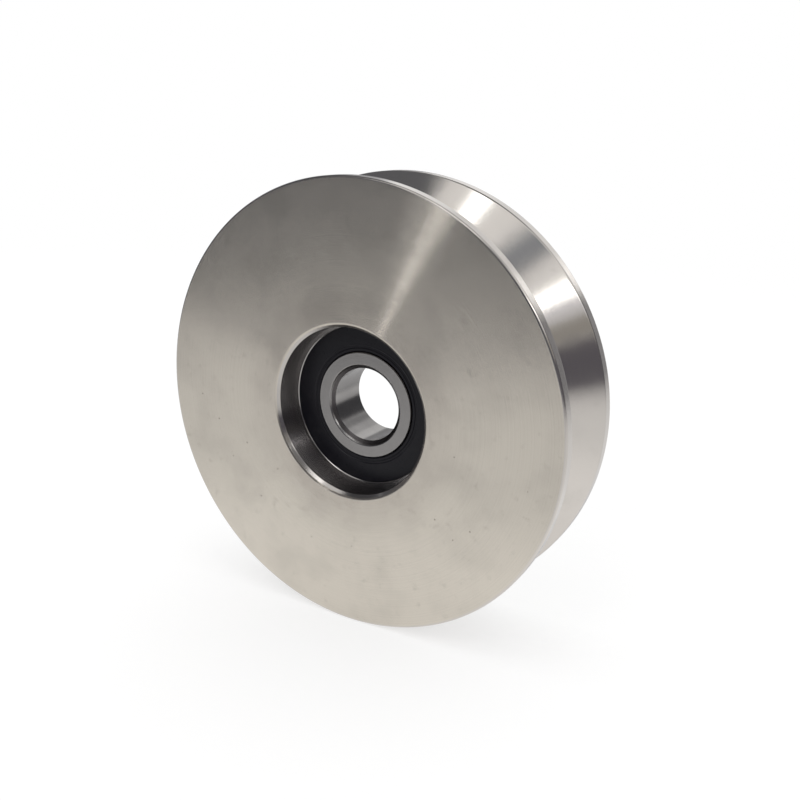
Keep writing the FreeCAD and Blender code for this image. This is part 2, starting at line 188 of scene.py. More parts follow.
# %% [markdown]
# Turning a section about the axle
#
# A Screw modifier or the Spin tool would turn a section too. A grid worked out with numpy is as short,
# closes on itself with no doubled points, and takes the section's exact normals, so a polished cone
# mirrors its surroundings without facets. Two numbers go along with every point: how far it lies along
# the section, which is where a lathe's marks change, and whether it is on an edge, where handling wears
# the metal bright.

# %% Turn a section
STEPS_ROUND = 384


def turned(name, outline, materials):
    """A surface of revolution about Y: (distance * cos t, height, distance * sin t), t once round.

    The grid has one row for each point of the section and one column for each angle, and both ways it joins
    its last cell to its first, so the surface is closed.
    """
    angle = np.linspace(0, 2 * np.pi, STEPS_ROUND, endpoint=False)

    def spun(pair):
        distance, height = pair[:, 0, None], pair[:, 1, None]
        grid = [distance * np.cos(angle), height + 0 * angle, distance * np.sin(angle)]
        return np.stack(grid, axis=-1).reshape(-1, 3)

    rows = len(outline["points"])
    row, column = np.meshgrid(np.arange(rows), np.arange(STEPS_ROUND), indexing="ij")
    next_row, next_column = (row + 1) % rows, (column + 1) % STEPS_ROUND
    corners = [(row, column), (next_row, column), (next_row, next_column), (row, next_column)]
    quads = np.stack([r * STEPS_ROUND + c for r, c in corners], axis=-1).reshape(-1, 4)

    mesh = bpy.data.meshes.new(name)
    mesh.from_pydata(spun(outline["points"]), [], quads)
    mesh.shade_smooth()
    for material in materials:
        mesh.materials.append(material)
    mesh.polygons.foreach_set("material_index", np.repeat(outline["finish"], STEPS_ROUND))
    for key in ("along", "edge"):
        values = np.repeat(outline[key], STEPS_ROUND).astype(np.float32)
        mesh.attributes.new(key, "FLOAT", "POINT").data.foreach_set("value", values)
    mesh.normals_split_custom_set_from_vertices(spun(outline["normals"]))
    piece = bpy.data.objects.new(name, mesh)
    bpy.context.scene.collection.objects.link(piece)
    print(f"{name}: {rows} rows, {2 * len(quads)} triangles")
    return piece


# %% [markdown]
# Shader maths in Python
#
# A finish is a sum of patterns. Wiring it node by node hides the sum, so a small class stands for one
# output socket: adding or multiplying two of them adds the Math node that does it. The reflected forms
# are there too, so that a number may come first.

# %% Wrap a socket


class Wire:
    """One output socket. Its operators add Math nodes to the same tree."""

    def __init__(self, tree, socket):
        self.tree = tree
        self.socket = socket

    def maths(self, operation, *others):
        """A Math node that takes this socket first and the others after it."""
        values = dict(enumerate((self, *others)))
        return self.tree.node("ShaderNodeMath", {"operation": operation}, values)

    def __add__(self, other):
        return self.maths("ADD", other)

    def __sub__(self, other):
        return self.maths("SUBTRACT", other)

    def __rsub__(self, other):
        return self.maths("MULTIPLY_ADD", -1, other)

    def __mul__(self, other):
        return self.maths("MULTIPLY", other)

    def __lt__(self, other):
        return self.maths("LESS_THAN", other)

    def __gt__(self, other):
        return self.maths("GREATER_THAN", other)

    __radd__ = __add__
    __rmul__ = __mul__


# %% [markdown]
# One method for every node
#
# Every other node comes from one method, which takes the node's type, its settings and what goes into
# its sockets. A Wire is linked, and a plain number or colour is set on the socket itself. When a tree
# is shown, it says how many nodes it has.

# %% Wrap a node tree


class Tree:
    """The node tree of a material or of the world."""

    def __init__(self, owner, output):
        owner.use_nodes = True
        self.nodes = owner.node_tree.nodes
        self.links = owner.node_tree.links
        self.nodes.clear()
        self.output = self.nodes.new(output)
        self.owner = owner

    def node(self, kind, settings=None, inputs=None, output=0):
        node = self.nodes.new(kind)
        for name, value in (settings or {}).items():
            setattr(node, name, value)
        for key, value in (inputs or {}).items():
            if isinstance(value, Wire):
                self.links.new(value.socket, node.inputs[key])
            else:
                node.inputs[key].default_value = value
        return Wire(self, node.outputs[output])

    def show(self, shader):
        self.links.new(shader.socket, self.output.inputs["Surface"])
        print(f"{self.owner.name}: {len(self.nodes)} nodes")
        return self.owner


def new_finish(name):
    return Tree(bpy.data.materials.new(name), "ShaderNodeOutputMaterial")


# %% [markdown]
# Words for patterns
#
# These few helpers name what the finishes below are made of: the place on the object, the way along the
# section, a cloud of noise, uneven rings left by a tool, the regular wave of its feed, a soft step, a
# mix of two colours, a relief, and the metal that wears them. Rings and waves change along the section
# alone, so they stay perfectly round however fine they are. A cloud's size is in metres. The pitch of
# rings and waves and the height of a relief are in millimetres, as the way along the section is.

# %% Name the patterns
MIX_FACTOR, MIX_FIRST, MIX_SECOND, MIX_RESULT = 0, 6, 7, 2
FINE_FILTER = 0.004


def place_on(tree):
    return tree.node("ShaderNodeTexCoord", output="Object")


def carried(tree, name):
    """A number that the mesh carries with every point."""
    return tree.node("ShaderNodeAttribute", {"attribute_name": name}, output="Fac")


def cloud(place, size, detail=2):
    """Soft noise from 0 to 1, in lumps of about this size."""
    inputs = {"Vector": place, "Scale": 1 / size, "Detail": detail}
    return place.tree.node("ShaderNodeTexNoise", inputs=inputs)


def rings(along, pitch, detail=1):
    """Noise from 0 to 1 along the section, with about one ring for each pitch."""
    inputs = {"W": along, "Scale": 1 / pitch, "Detail": detail}
    return along.tree.node("ShaderNodeTexNoise", {"noise_dimensions": "1D"}, inputs)


def wave(along, pitch):
    """A regular wave along the section, just high enough for its slope to swing between -1 and 1."""
    turn = 2 * math.pi / pitch
    return (along * turn).maths("SINE") * (1 / turn)


def soft_step(value, low, high):
    """0 below low, 1 above high, and a smooth rise between."""
    inputs = {"Value": value, "From Min": low, "From Max": high}
    return value.tree.node("ShaderNodeMapRange", {"interpolation_type": "SMOOTHSTEP"}, inputs)


def mixed(share, first, second):
    inputs = {MIX_FACTOR: share, MIX_FIRST: first, MIX_SECOND: second}
    return share.tree.node("ShaderNodeMix", {"data_type": "RGBA"}, inputs, MIX_RESULT)


def relief(height):
    """The normal of a surface with this relief."""
    inputs = {"Height": height, "Distance": MM, "Filter Width": FINE_FILTER}
    return height.tree.node("ShaderNodeBump", inputs=inputs)


def metal(colour, roughness, normal):
    inputs = {"Base Color": colour, "Metallic": 1.0, "Roughness": roughness, "Normal": normal}
    return colour.tree.show(colour.tree.node("ShaderNodeBsdfPrincipled", inputs=inputs))


# %% [markdown]
# Oil and specks
#
# A wheel from a workshop is never quite clean. Oil from the bearing darkens the steel round the hub,
# and a few dark specks lie scattered on its faces. A painted picture would show them too, but it would
# have to be wrapped round the wheel. Both are worked out from the place on the object instead: the oil
# from the distance to the axle, the specks from the distance to the nearest of many scattered points.

# %% Name the dirt
ACROSS_AXLE = (1, 0, 1)
OIL_REACH = (25 * MM, 36 * MM)
SPECK_SPACING = 5 * MM
SPECK_REACH = 0.26 * MM
SPECK_CHANCE = 0.5


def near_hub(place):
    """1 close to the axle and 0 further out, where no oil from the bearing gets."""
    tree = place.tree
    flat = tree.node("ShaderNodeVectorMath", {"operation": "MULTIPLY"}, {0: place, 1: ACROSS_AXLE})
    distance = tree.node("ShaderNodeVectorMath", {"operation": "LENGTH"}, {0: flat}, "Value")
    return 1 - soft_step(distance, *OIL_REACH)


def specks(place):
    """1 in a few small dots: close to a point of a scattered set, where that point is one of the chosen."""
    tree = place.tree
    scattered = {"Vector": place, "Scale": 1 / SPECK_SPACING}
    distance = tree.node("ShaderNodeTexVoronoi", inputs=scattered, output="Distance")
    chance = tree.node("ShaderNodeTexVoronoi", inputs=scattered, output="Color")
    red = tree.node("ShaderNodeSeparateColor", inputs={"Color": chance})
    return (distance < SPECK_REACH / SPECK_SPACING) * (red < SPECK_CHANCE)


# %% [markdown]
# The turned faces
#
# Both faces of the disc are finished with a light facing cut: the tool moves outwards while the wheel
# turns and leaves rings a fraction of a millimetre apart. The rings tilt the surface inwards and
# outwards but never sideways, so a lamp is drawn out into one ray from the hub to the rim. A shader has
# a setting for such brushed metal, but it needs a direction at every point. Regular waves of relief
# give the same ray by themselves. Wider bands, a little brighter or duller, show where the tool cut
# better or worse. Over them lie faint clouds where oil and fingers touched the steel, small smears, and
# the specks.

# %% Make the turned steel
FACE_STEEL = (0.622, 0.577, 0.508, 1)
FACE_DULL = (0.545, 0.506, 0.447, 1)
OILED_STEEL = (0.48, 0.44, 0.39, 1)
DARK_SPECK = (0.16, 0.14, 0.12, 1)
FIRST_FEED, SECOND_FEED, FEED_SLOPE = 0.06, 0.0437, 0.125
CHATTER_PITCH, CHATTER_HEIGHT = 0.35, 0.007
BAND_EDGES = (0.3, 0.7)
STAIN_SIZE, STAIN_EDGES = 14 * MM, (0.4, 0.75)
OIL_LEAST, OIL_IN_STAINS = 0.4, 0.6
DULL_BY_STAIN, DULL_BY_BAND = 0.8, 0.2
SMEAR_SIZE, SMEAR_EDGES, SMEAR_SHARE = 2.4 * MM, (0.58, 0.82), 0.14
SPECK_SHARE = 0.5
FACE_ROUGH, BAND_ROUGH, STAIN_ROUGH = 0.07, 0.06, 0.01


def turned_face_steel():
    """Waves of the feed and bands of chatter, under clouds, oil, smears and specks."""
    tree = new_finish("turned_face_steel")
    place, along = place_on(tree), carried(tree, "along")
    feed = wave(along, FIRST_FEED) + wave(along, SECOND_FEED)
    chatter = rings(along, CHATTER_PITCH, detail=0)
    bands = soft_step(chatter, *BAND_EDGES)
    stain = soft_step(cloud(place, STAIN_SIZE, detail=4), *STAIN_EDGES)
    oiled = near_hub(place) * (OIL_LEAST + stain * OIL_IN_STAINS)
    clean = mixed(stain * DULL_BY_STAIN + bands * DULL_BY_BAND, FACE_STEEL, FACE_DULL)
    steel = mixed(oiled, clean, OILED_STEEL)
    smears = soft_step(cloud(place, SMEAR_SIZE, detail=3), *SMEAR_EDGES) * SMEAR_SHARE
    dirt = smears.maths("MAXIMUM", specks(place) * SPECK_SHARE)
    roughness = FACE_ROUGH + bands * BAND_ROUGH + stain * STAIN_ROUGH
    height = feed * FEED_SLOPE + chatter * CHATTER_HEIGHT
    return metal(mixed(dirt, steel, DARK_SPECK), roughness, relief(height))


face_steel = turned_face_steel()

# %% [markdown]
# The polished track
#
# The groove runs on the track, so its walls are cut finer and polished, with the lands, the rim's
# rounded edges and the chamfers at the mouths of the bore. They mirror the studio in bands, a little
# drawn out by the last tool marks. The base is the same steel, with finer waves than on the faces, and
# a film of oil near the hub. A slow ripple keeps the bands from being ruler straight.

# %% Make the polished steel
TRACK_STEEL = (0.600, 0.565, 0.528, 1)
TRACK_DULL = (0.555, 0.525, 0.490, 1)
OILED_TRACK = (0.47, 0.447, 0.425, 1)
TRACK_FEED, TRACK_SLOPE = 0.05, 0.045
TRACK_LINES, TRACK_LINE_HEIGHT = 0.4, 0.006
RIPPLE_SIZE, RIPPLE_HEIGHT = 9 * MM, 0.012
TRACK_STAIN, TRACK_STAIN_EDGES = 8 * MM, (0.5, 0.8)
TRACK_ROUGH, TRACK_LINE_ROUGH, TRACK_STAIN_ROUGH = 0.11, 0.05, 0.05


def polished_track_steel():
    """Fine waves, lines and a slow ripple, with dull stains and a film of oil."""
    tree = new_finish("polished_track_steel")
    place, along = place_on(tree), carried(tree, "along")
    lines = rings(along, TRACK_LINES)
    waves = wave(along, TRACK_FEED) * TRACK_SLOPE + lines * TRACK_LINE_HEIGHT
    height = waves + cloud(place, RIPPLE_SIZE) * RIPPLE_HEIGHT
    stain = soft_step(cloud(place, TRACK_STAIN, detail=4), *TRACK_STAIN_EDGES)
    steel = mixed(stain, TRACK_STEEL, TRACK_DULL)
    colour = mixed(near_hub(place), steel, OILED_TRACK)
    roughness = TRACK_ROUGH + lines * TRACK_LINE_ROUGH + stain * TRACK_STAIN_ROUGH
    return metal(colour, roughness, relief(height))


track_steel = polished_track_steel()

# %% [markdown]
# The bored recess
#
# The recess is bored out by a slender tool that chatters, so its marks are coarser and much steeper
# than on the groove. A smooth wall would only mirror the black seal behind it. The steep marks also
# catch the room in front, and the wall gets its soft brown grey. The bearing seat and the groove of the
# spring ring are cut by the same tool.

# %% Make the bored steel
BORED_STEEL = (0.34, 0.318, 0.312, 1)
BORED_SHADE = (0.25, 0.234, 0.234, 1)
BORED_FEED, BORED_SLOPE = 0.11, 0.56
BORED_LINES, BORED_LINE_HEIGHT = 0.5, 0.012
BORED_MOTTLE = 6 * MM
BORED_ROUGH, BORED_LINE_ROUGH = 0.17, 0.06


def bored_steel():
    """Steep waves and coarse lines on mottled steel."""
    tree = new_finish("bored_steel")
    place, along = place_on(tree), carried(tree, "along")
    lines = rings(along, BORED_LINES)
    height = wave(along, BORED_FEED) * BORED_SLOPE + lines * BORED_LINE_HEIGHT
    colour = mixed(cloud(place, BORED_MOTTLE, detail=3), BORED_STEEL, BORED_SHADE)
    return metal(colour, BORED_ROUGH + lines * BORED_LINE_ROUGH, relief(height))


recess_steel = bored_steel()

# %% [markdown]
# The bearing rings
#
# The rings of a ball bearing are hardened and ground. A ground face is satin: countless short
# scratches, with no clear direction at this scale. The bore is ground with the wheel going round, so it
# is finer and mirrors in bands. The corner between the two is left as it came from the lathe and the
# furnace, and stays dark. All three could share one finish, but then the corner would vanish.

# %% Make the ground steels
GROUND_STEEL = (0.300, 0.290, 0.284, 1)
GROUND_SHADE = (0.262, 0.252, 0.246, 1)
BORE_STEEL = (0.38, 0.367, 0.355, 1)
SCALE_GREY = (0.13, 0.12, 0.12, 1)
SCALE_DARK = (0.08, 0.075, 0.075, 1)
SCRATCH_SIZE, SCRATCH_HEIGHT = 0.25 * MM, 0.012
GRIND_RINGS, GRIND_RING_HEIGHT = 0.15, 0.008
GROUND_MOTTLE = 2.5 * MM
GROUND_ROUGH, SCRATCH_ROUGH, WORN_SMOOTH = 0.19, 0.1, 0.1
BORE_LINES, BORE_LINE_HEIGHT = 0.12, 0.006
BORE_MOTTLE = 4 * MM
BORE_ROUGH, BORE_LINE_ROUGH = 0.13, 0.06
SCALE_GRAIN, SCALE_GRAIN_HEIGHT = 0.5 * MM, 0.01
SCALE_ROUGH, SCALE_GRAIN_ROUGH, RUBBED_SMOOTH = 0.3, 0.15, 0.12


def ground_face_steel():
    """Short scratches and faint rings, worn smoother at the edges."""
    tree = new_finish("ground_face_steel")
    place, along = place_on(tree), carried(tree, "along")
    scratches = cloud(place, SCRATCH_SIZE, detail=1)
    height = scratches * SCRATCH_HEIGHT + rings(along, GRIND_RINGS) * GRIND_RING_HEIGHT
    colour = mixed(cloud(place, GROUND_MOTTLE, detail=3), GROUND_STEEL, GROUND_SHADE)
    roughness = GROUND_ROUGH + scratches * SCRATCH_ROUGH - carried(tree, "edge") * WORN_SMOOTH
    return metal(colour, roughness, relief(height))


def ground_bore_steel():
    """Fine lines round the bore."""
    tree = new_finish("ground_bore_steel")
    lines = rings(carried(tree, "along"), BORE_LINES)
    colour = mixed(cloud(place_on(tree), BORE_MOTTLE, detail=3), BORE_STEEL, GROUND_STEEL)
    return metal(colour, BORE_ROUGH + lines * BORE_LINE_ROUGH, relief(lines * BORE_LINE_HEIGHT))


def furnace_scale_steel():
    """Dark grains of scale, rubbed smoother at the edges."""
    tree = new_finish("furnace_scale_steel")
    grain = cloud(place_on(tree), SCALE_GRAIN, detail=3)
    roughness = SCALE_ROUGH + grain * SCALE_GRAIN_ROUGH - carried(tree, "edge") * RUBBED_SMOOTH
    return metal(mixed(grain, SCALE_GREY, SCALE_DARK), roughness, relief(grain * SCALE_GRAIN_HEIGHT))


ring_finishes = [ground_face_steel(), ground_bore_steel(), furnace_scale_steel()]

# %% [markdown]
# The rubber seals
#
# The seals are moulded from black rubber. The mould's own turning marks come out as very faint rings,
# the rubber's surface is finely grained, and a little dust settles on it. Rubber is no metal, so what
# it shows is a dark colour under a weak, broad shine.

# %% Make the rubber
RUBBER_BLACK = (0.0085, 0.0080, 0.0112, 1)
RUBBER_DUST = (0.016, 0.0155, 0.018, 1)
RUBBER_GRAIN, RUBBER_GRAIN_HEIGHT = 0.3 * MM, 0.012
MOULD_RINGS, MOULD_RING_HEIGHT = 0.5, 0.008
DUST_SIZE, DUST_EDGES, DUST_SHARE = 3 * MM, (0.5, 0.8), 0.6
RUBBER_ROUGH, RUBBER_GRAIN_ROUGH, DUST_ROUGH = 0.24, 0.1, 0.1
RUBBER_SHINE = 0.2


def moulded_rubber():
    """Grain and the mould's rings, with a little dust."""
    tree = new_finish("moulded_rubber")
    place, along = place_on(tree), carried(tree, "along")
    grain = cloud(place, RUBBER_GRAIN)
    dust = soft_step(cloud(place, DUST_SIZE, detail=4), *DUST_EDGES)
    height = grain * RUBBER_GRAIN_HEIGHT + rings(along, MOULD_RINGS) * MOULD_RING_HEIGHT
    inputs = {
        "Base Color": mixed(dust * DUST_SHARE, RUBBER_BLACK, RUBBER_DUST),
        "Roughness": RUBBER_ROUGH + grain * RUBBER_GRAIN_ROUGH + dust * DUST_ROUGH,
        "Specular IOR Level": RUBBER_SHINE,
        "Normal": relief(height),
    }
    return tree.show(tree.node("ShaderNodeBsdfPrincipled", inputs=inputs))


rubber = moulded_rubber()

# %% [markdown]
# The spring ring, the cage and the balls
#
# The spring ring at the rear is stamped from spring steel and blackened in a bath. Its stamped edges
# are eased by the shader's Bevel node, because its own mesh is the frame's and stays as it is. The cage
# is pressed from thin bright strip with a rolled grain, its rivets are set cold, and the balls are
# lapped to a mirror and then packed in grease, which dulls them again. These sit behind the seals, and
# get their finish all the same.

# %% Make the small parts' finishes
BLACKENED = (0.035, 0.034, 0.037, 1)
BLACK_RUBBED = (0.10, 0.096, 0.094, 1)
STRIP_BRIGHT = (0.62, 0.60, 0.57, 1)
STRIP_DULL = (0.50, 0.48, 0.45, 1)
BALL_BRIGHT = (0.44, 0.43, 0.41, 1)
BALL_GREASED = (0.30, 0.29, 0.26, 1)
BATH_GRAIN, BATH_GRAIN_HEIGHT = 0.4 * MM, 0.012
RUB_SIZE, RUB_EDGES = 5 * MM, (0.48, 0.72)
BATH_ROUGH, BATH_GRAIN_ROUGH, RUB_SMOOTH = 0.38, 0.12, 0.08
STAMPED_EDGE, STAMPED_SAMPLES = 0.18 * MM, 6
STRIP_GRAIN, STRIP_GRAIN_HEIGHT = 0.35 * MM, 0.006
STRIP_MOTTLE = 2 * MM
STRIP_ROUGH, STRIP_GRAIN_ROUGH = 0.24, 0.12
GREASE_SIZE, GREASE_HEIGHT = 1.5 * MM, 0.004
BALL_ROUGH, GREASE_ROUGH = 0.14, 0.14


def blackened_spring_steel():
    """A grained black bath, rubbed grey in places, over eased edges."""
    tree = new_finish("blackened_spring_steel")
    place = place_on(tree)
    grain = cloud(place, BATH_GRAIN, detail=3)
    rubbed = soft_step(cloud(place, RUB_SIZE, detail=4), *RUB_EDGES)
    eased = tree.node("ShaderNodeBevel", {"samples": STAMPED_SAMPLES}, {"Radius": STAMPED_EDGE})
    inputs = {"Height": grain * BATH_GRAIN_HEIGHT, "Distance": MM, "Normal": eased}
    normal = tree.node("ShaderNodeBump", inputs=inputs)
    roughness = BATH_ROUGH + grain * BATH_GRAIN_ROUGH - rubbed * RUB_SMOOTH
    return metal(mixed(rubbed, BLACKENED, BLACK_RUBBED), roughness, normal)


def rolled_strip_steel():
    """Bright strip with a fine grain."""
    tree = new_finish("rolled_strip_steel")
    place = place_on(tree)
    grain = cloud(place, STRIP_GRAIN, detail=3)
    colour = mixed(cloud(place, STRIP_MOTTLE, detail=3), STRIP_BRIGHT, STRIP_DULL)
    return metal(colour, STRIP_ROUGH + grain * STRIP_GRAIN_ROUGH, relief(grain * STRIP_GRAIN_HEIGHT))


def lapped_ball_steel():
    """A mirror under an uneven film of grease."""
    tree = new_finish("lapped_ball_steel")
    film = cloud(place_on(tree), GREASE_SIZE, detail=3)
    colour = mixed(film, BALL_BRIGHT, BALL_GREASED)
    return metal(colour, BALL_ROUGH + film * GREASE_ROUGH, relief(film * GREASE_HEIGHT))


spring_steel = blackened_spring_steel()
strip_steel = rolled_strip_steel()
ball_steel = lapped_ball_steel()

# %% [markdown]
# The wheel's body
#
# The disc is one turned piece, so it is one section: up the recess, out along the front face, over the
# rim with its two lands and the V groove, back along the rear face and down the stepped bore. Each
# stretch names its finish. The groove's mouth and root are broad rounds, the rim's outer edges are
# small ones, and the chamfers at the bore's mouths run softly into the faces. The other edges have the
# small ease of a deburring tool. A finished piece rides on the body that it moves with, and stands for
# the frame's own node.

# %% Turn the wheel's body
FACE, TRACK, BORED = 0, 1, 2
RIM_EASE = 0.6 * MM
LAND_WIDTH = 3.5 * MM
GROOVE_EASE = 1 * MM
ROOT_EASE = 2 * MM
SHOULDER_HEIGHT = 1 * MM
MOUTH_CHAMFER = 1 * MM
MOUTH_EASE = 1 * MM
SPRING_GROOVE_DEPTH = 1.25 * MM
SPRING_GROOVE_WIDTH = 1.85 * MM
TURNED_EDGE = 0.3 * MM
INNER_EDGE = 0.08 * MM

recess_radius = seat_radius - SHOULDER_HEIGHT
half_mouth = half_width - LAND_WIDTH
spring_groove = seat_radius + SPRING_GROOVE_DEPTH
wheel_corners = [
    (seat_radius, -half_bearing, INNER_EDGE, BORED),
    (recess_radius, -half_bearing, INNER_EDGE, BORED),
    (recess_radius, MOUTH_CHAMFER - half_width, TURNED_EDGE, TRACK),
    (recess_radius + MOUTH_CHAMFER, -half_width, MOUTH_EASE, FACE),
    (rim_radius, -half_width, RIM_EASE, TRACK),
    (rim_radius, -half_mouth, GROOVE_EASE, TRACK),
    (rim_radius - half_mouth, 0, ROOT_EASE, TRACK),
    (rim_radius, half_mouth, GROOVE_EASE, TRACK),
    (rim_radius, half_width, RIM_EASE, FACE),
    (seat_radius + MOUTH_CHAMFER, half_width, MOUTH_EASE, TRACK),
    (seat_radius, half_width - MOUTH_CHAMFER, TURNED_EDGE, BORED),
    (seat_radius, half_bearing + SPRING_GROOVE_WIDTH, INNER_EDGE, BORED),
    (spring_groove, half_bearing + SPRING_GROOVE_WIDTH, INNER_EDGE, BORED),
    (spring_groove, half_bearing, INNER_EDGE, BORED),
    (seat_radius, half_bearing, INNER_EDGE, BORED),
]
wheel = turned("wheel_body_turned", section(wheel_corners), [face_steel, track_steel, recess_steel])
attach(wheel, "wheel")
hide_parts("wheel_body")

# %% [markdown]
# The ball tracks
#
# Each ring of the bearing has a ball track in the middle: an arc a little wider than the ball. It could
# be cut out by a torus. But a section made of straight runs and eased corners can hold that arc as one
# large ease, and then the track belongs to the same closed surface. The corner lies where the tangents
# at the arc's two ends meet: at the arc's centre + track radius squared / the shoulder's distance from
# that centre. The ease is a little less than the track's radius, which leaves a short straight run at
# each end.

# %% Work out the ball tracks
TRACK_OVER_BALL = 0.52
BALL_PLAY = 0.03 * MM
OUTER_SHOULDER_RISE = 2.65 * MM
EASE_SHARE = 0.97

track_radius = 2 * ball_radius * TRACK_OVER_BALL
track_shift = track_radius - ball_radius - BALL_PLAY
track_ease = track_radius * EASE_SHARE
outer_shoulder = pitch_radius + OUTER_SHOULDER_RISE


def ball_track(shoulder, centre):
    """Half the track's width at the shoulder, and the distance from the axle where its end tangents meet."""
    depth = shoulder - centre
    half_track = math.sqrt(track_radius**2 - depth**2)
    return half_track, centre + track_radius**2 / depth


outer_half, outer_apex = ball_track(outer_shoulder, pitch_radius - track_shift)
inner_half, inner_apex = ball_track(inner_shoulder, pitch_radius + track_shift)
print("track radius in mm:", round(track_radius / MM, 3))

# %% [markdown]
# The outer ring
#
# The outer ring carries a seal on each side, in a stepped seat with an undercut that the rubber snaps
# into. Its outside corners are broken by a chamfer, so that it goes into the wheel's seat without
# scraping. Front and rear are alike, so only the front half of the section is written out, and the rear
# half is its mirror image, taken the other way round so that the faces still point outwards.

# %% Turn the outer ring
RING_FACE, RING_BORE, RING_CORNER = 0, 1, 2
SEAL_MOUTH_WALL = 2 * MM
SEAL_UNDERCUT = 0.4 * MM
SEAL_SNAP_DEPTH = 0.6 * MM
SEAL_SEAT_DEPTH = 1.2 * MM
RING_CORNER_SIZE = 0.6 * MM
EDGE_BREAK = 0.2 * MM
GROUND_EDGE = 0.1 * MM
TRACK_EDGE = 0.04 * MM


def mirrored(corners):
    """The corners in a mirror across the wheel's middle, last one first.

    A finish counts up to the next corner, so each run's finish moves to the corner at its other end. The
    last corner takes the finish of the first.
    """
    finishes = [finish for *_, finish in reversed(corners[:-1])] + [corners[0][3]]
    flipped = [(distance, -height, easing) for distance, height, easing, _ in reversed(corners)]
    return [(*corner, finish) for corner, finish in zip(flipped, finishes)]


seal_mouth = seat_radius - SEAL_MOUTH_WALL
seal_seat = seal_mouth + SEAL_UNDERCUT
seal_step = half_bearing - SEAL_SEAT_DEPTH
seal_snap = half_bearing - SEAL_SNAP_DEPTH
front_half = [
    (outer_shoulder, -outer_half, TRACK_EDGE, RING_BORE),
    (outer_shoulder, -seal_step, TRACK_EDGE, RING_BORE),
    (seal_seat, -seal_step, TRACK_EDGE, RING_BORE),
    (seal_seat, -seal_snap, TRACK_EDGE, RING_BORE),
    (seal_mouth, -seal_snap, TRACK_EDGE, RING_BORE),
    (seal_mouth, EDGE_BREAK - half_bearing, TRACK_EDGE, RING_BORE),
    (seal_mouth + EDGE_BREAK, -half_bearing, TRACK_EDGE, RING_FACE),
    (seat_radius - RING_CORNER_SIZE, -half_bearing, GROUND_EDGE, RING_CORNER),
    (seat_radius, RING_CORNER_SIZE - half_bearing, GROUND_EDGE, RING_BORE),
]
outer_corners = [*front_half, *mirrored(front_half), (outer_apex, 0, track_ease, RING_BORE)]
outer_ring = turned("bearing_outer_ring_ground", section(outer_corners), ring_finishes)
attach(outer_ring, "wheel")
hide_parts("bearing_outer_ring")

# %% [markdown]
# The inner ring
#
# The inner ring sits on the axle. It is drawn by its rear half and the mirror image of it, as the outer
# ring is by its front half. Its edges beside the seals are broken by a small chamfer. The corner at the
# bore starts a little steeper at the face, where the grinding wheel has caught it, and that narrow
# strip glints.

# %% Turn the inner ring
BORE_CORNER_SIZE = 1.2 * MM
STRIP_ACROSS, STRIP_DEEP = 0.35 * MM, 0.45 * MM
BORE_EDGE = 0.45 * MM

corner_radius = bore_radius + BORE_CORNER_SIZE
rear_half = [
    (inner_shoulder, inner_half, TRACK_EDGE, RING_BORE),
    (inner_shoulder, half_bearing - EDGE_BREAK, TRACK_EDGE, RING_BORE),
    (inner_shoulder - EDGE_BREAK, half_bearing, TRACK_EDGE, RING_FACE),
    (corner_radius, half_bearing, BORE_EDGE, RING_FACE),
    (corner_radius - STRIP_ACROSS, half_bearing - STRIP_DEEP, GROUND_EDGE, RING_CORNER),
    (bore_radius, half_bearing - BORE_CORNER_SIZE, GROUND_EDGE, RING_BORE),
]
inner_corners = [(inner_apex, 0, track_ease, RING_BORE), *rear_half, *mirrored(rear_half)]
inner_ring = turned("bearing_inner_ring_ground", section(inner_corners), ring_finishes)
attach(inner_ring, "hub")
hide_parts("bearing_inner_ring")

# %% [markdown]
# The seals
#
# A seal is a thin washer with a rib on each side: the outer one snaps into the outer ring's undercut,
# the inner one ends in a lip beside the inner ring. On the outside a shallow channel runs round beside
# the lip and lets it bend. The front seal is the mirror image of the rear one.

# %% Turn the seals
SEAL_FIT = 0.03 * MM
LIP_CLEARANCE = 0.1 * MM
LIP_BEVEL = 0.3 * MM
SEAL_RIB = 0.9 * MM
SEAL_RELIEF = 0.3 * MM
CHANNEL_FROM_LIP = 0.9 * MM
CHANNEL_WIDTH = 0.9 * MM
CHANNEL_DEPTH = 0.18 * MM
RUBBER_EDGE = 0.1 * MM
SNAP_EDGE = 0.03 * MM
RUBBER = 0

lip = inner_shoulder + LIP_CLEARANCE
web_back = seal_step + SEAL_RELIEF
web_inside = lip + SEAL_RIB
web_outside = outer_shoulder + SEAL_RIB
channel = lip + CHANNEL_FROM_LIP
channel_floor = seal_front - CHANNEL_DEPTH
seal_corners = [
    (lip, seal_step, RUBBER_EDGE, RUBBER),
    (web_inside, seal_step, RUBBER_EDGE, RUBBER),
    (web_inside + SEAL_RELIEF, web_back, RUBBER_EDGE, RUBBER),
    (web_outside - SEAL_RELIEF, web_back, RUBBER_EDGE, RUBBER),
    (web_outside, seal_step, RUBBER_EDGE, RUBBER),
    (seal_seat - SEAL_FIT, seal_step, SNAP_EDGE, RUBBER),
    (seal_seat - SEAL_FIT, seal_snap, SNAP_EDGE, RUBBER),
    (seal_mouth - SEAL_FIT, seal_snap, SNAP_EDGE, RUBBER),
    (seal_mouth - SEAL_FIT, seal_front, RUBBER_EDGE, RUBBER),
    (channel + CHANNEL_WIDTH, seal_front, RUBBER_EDGE, RUBBER),
    (channel + CHANNEL_WIDTH - CHANNEL_DEPTH, channel_floor, RUBBER_EDGE, RUBBER),
    (channel + CHANNEL_DEPTH, channel_floor, RUBBER_EDGE, RUBBER),
    (channel, seal_front, RUBBER_EDGE, RUBBER),
    (lip + LIP_BEVEL, seal_front, RUBBER_EDGE, RUBBER),
    (lip, seal_front - LIP_BEVEL, RUBBER_EDGE, RUBBER),
]
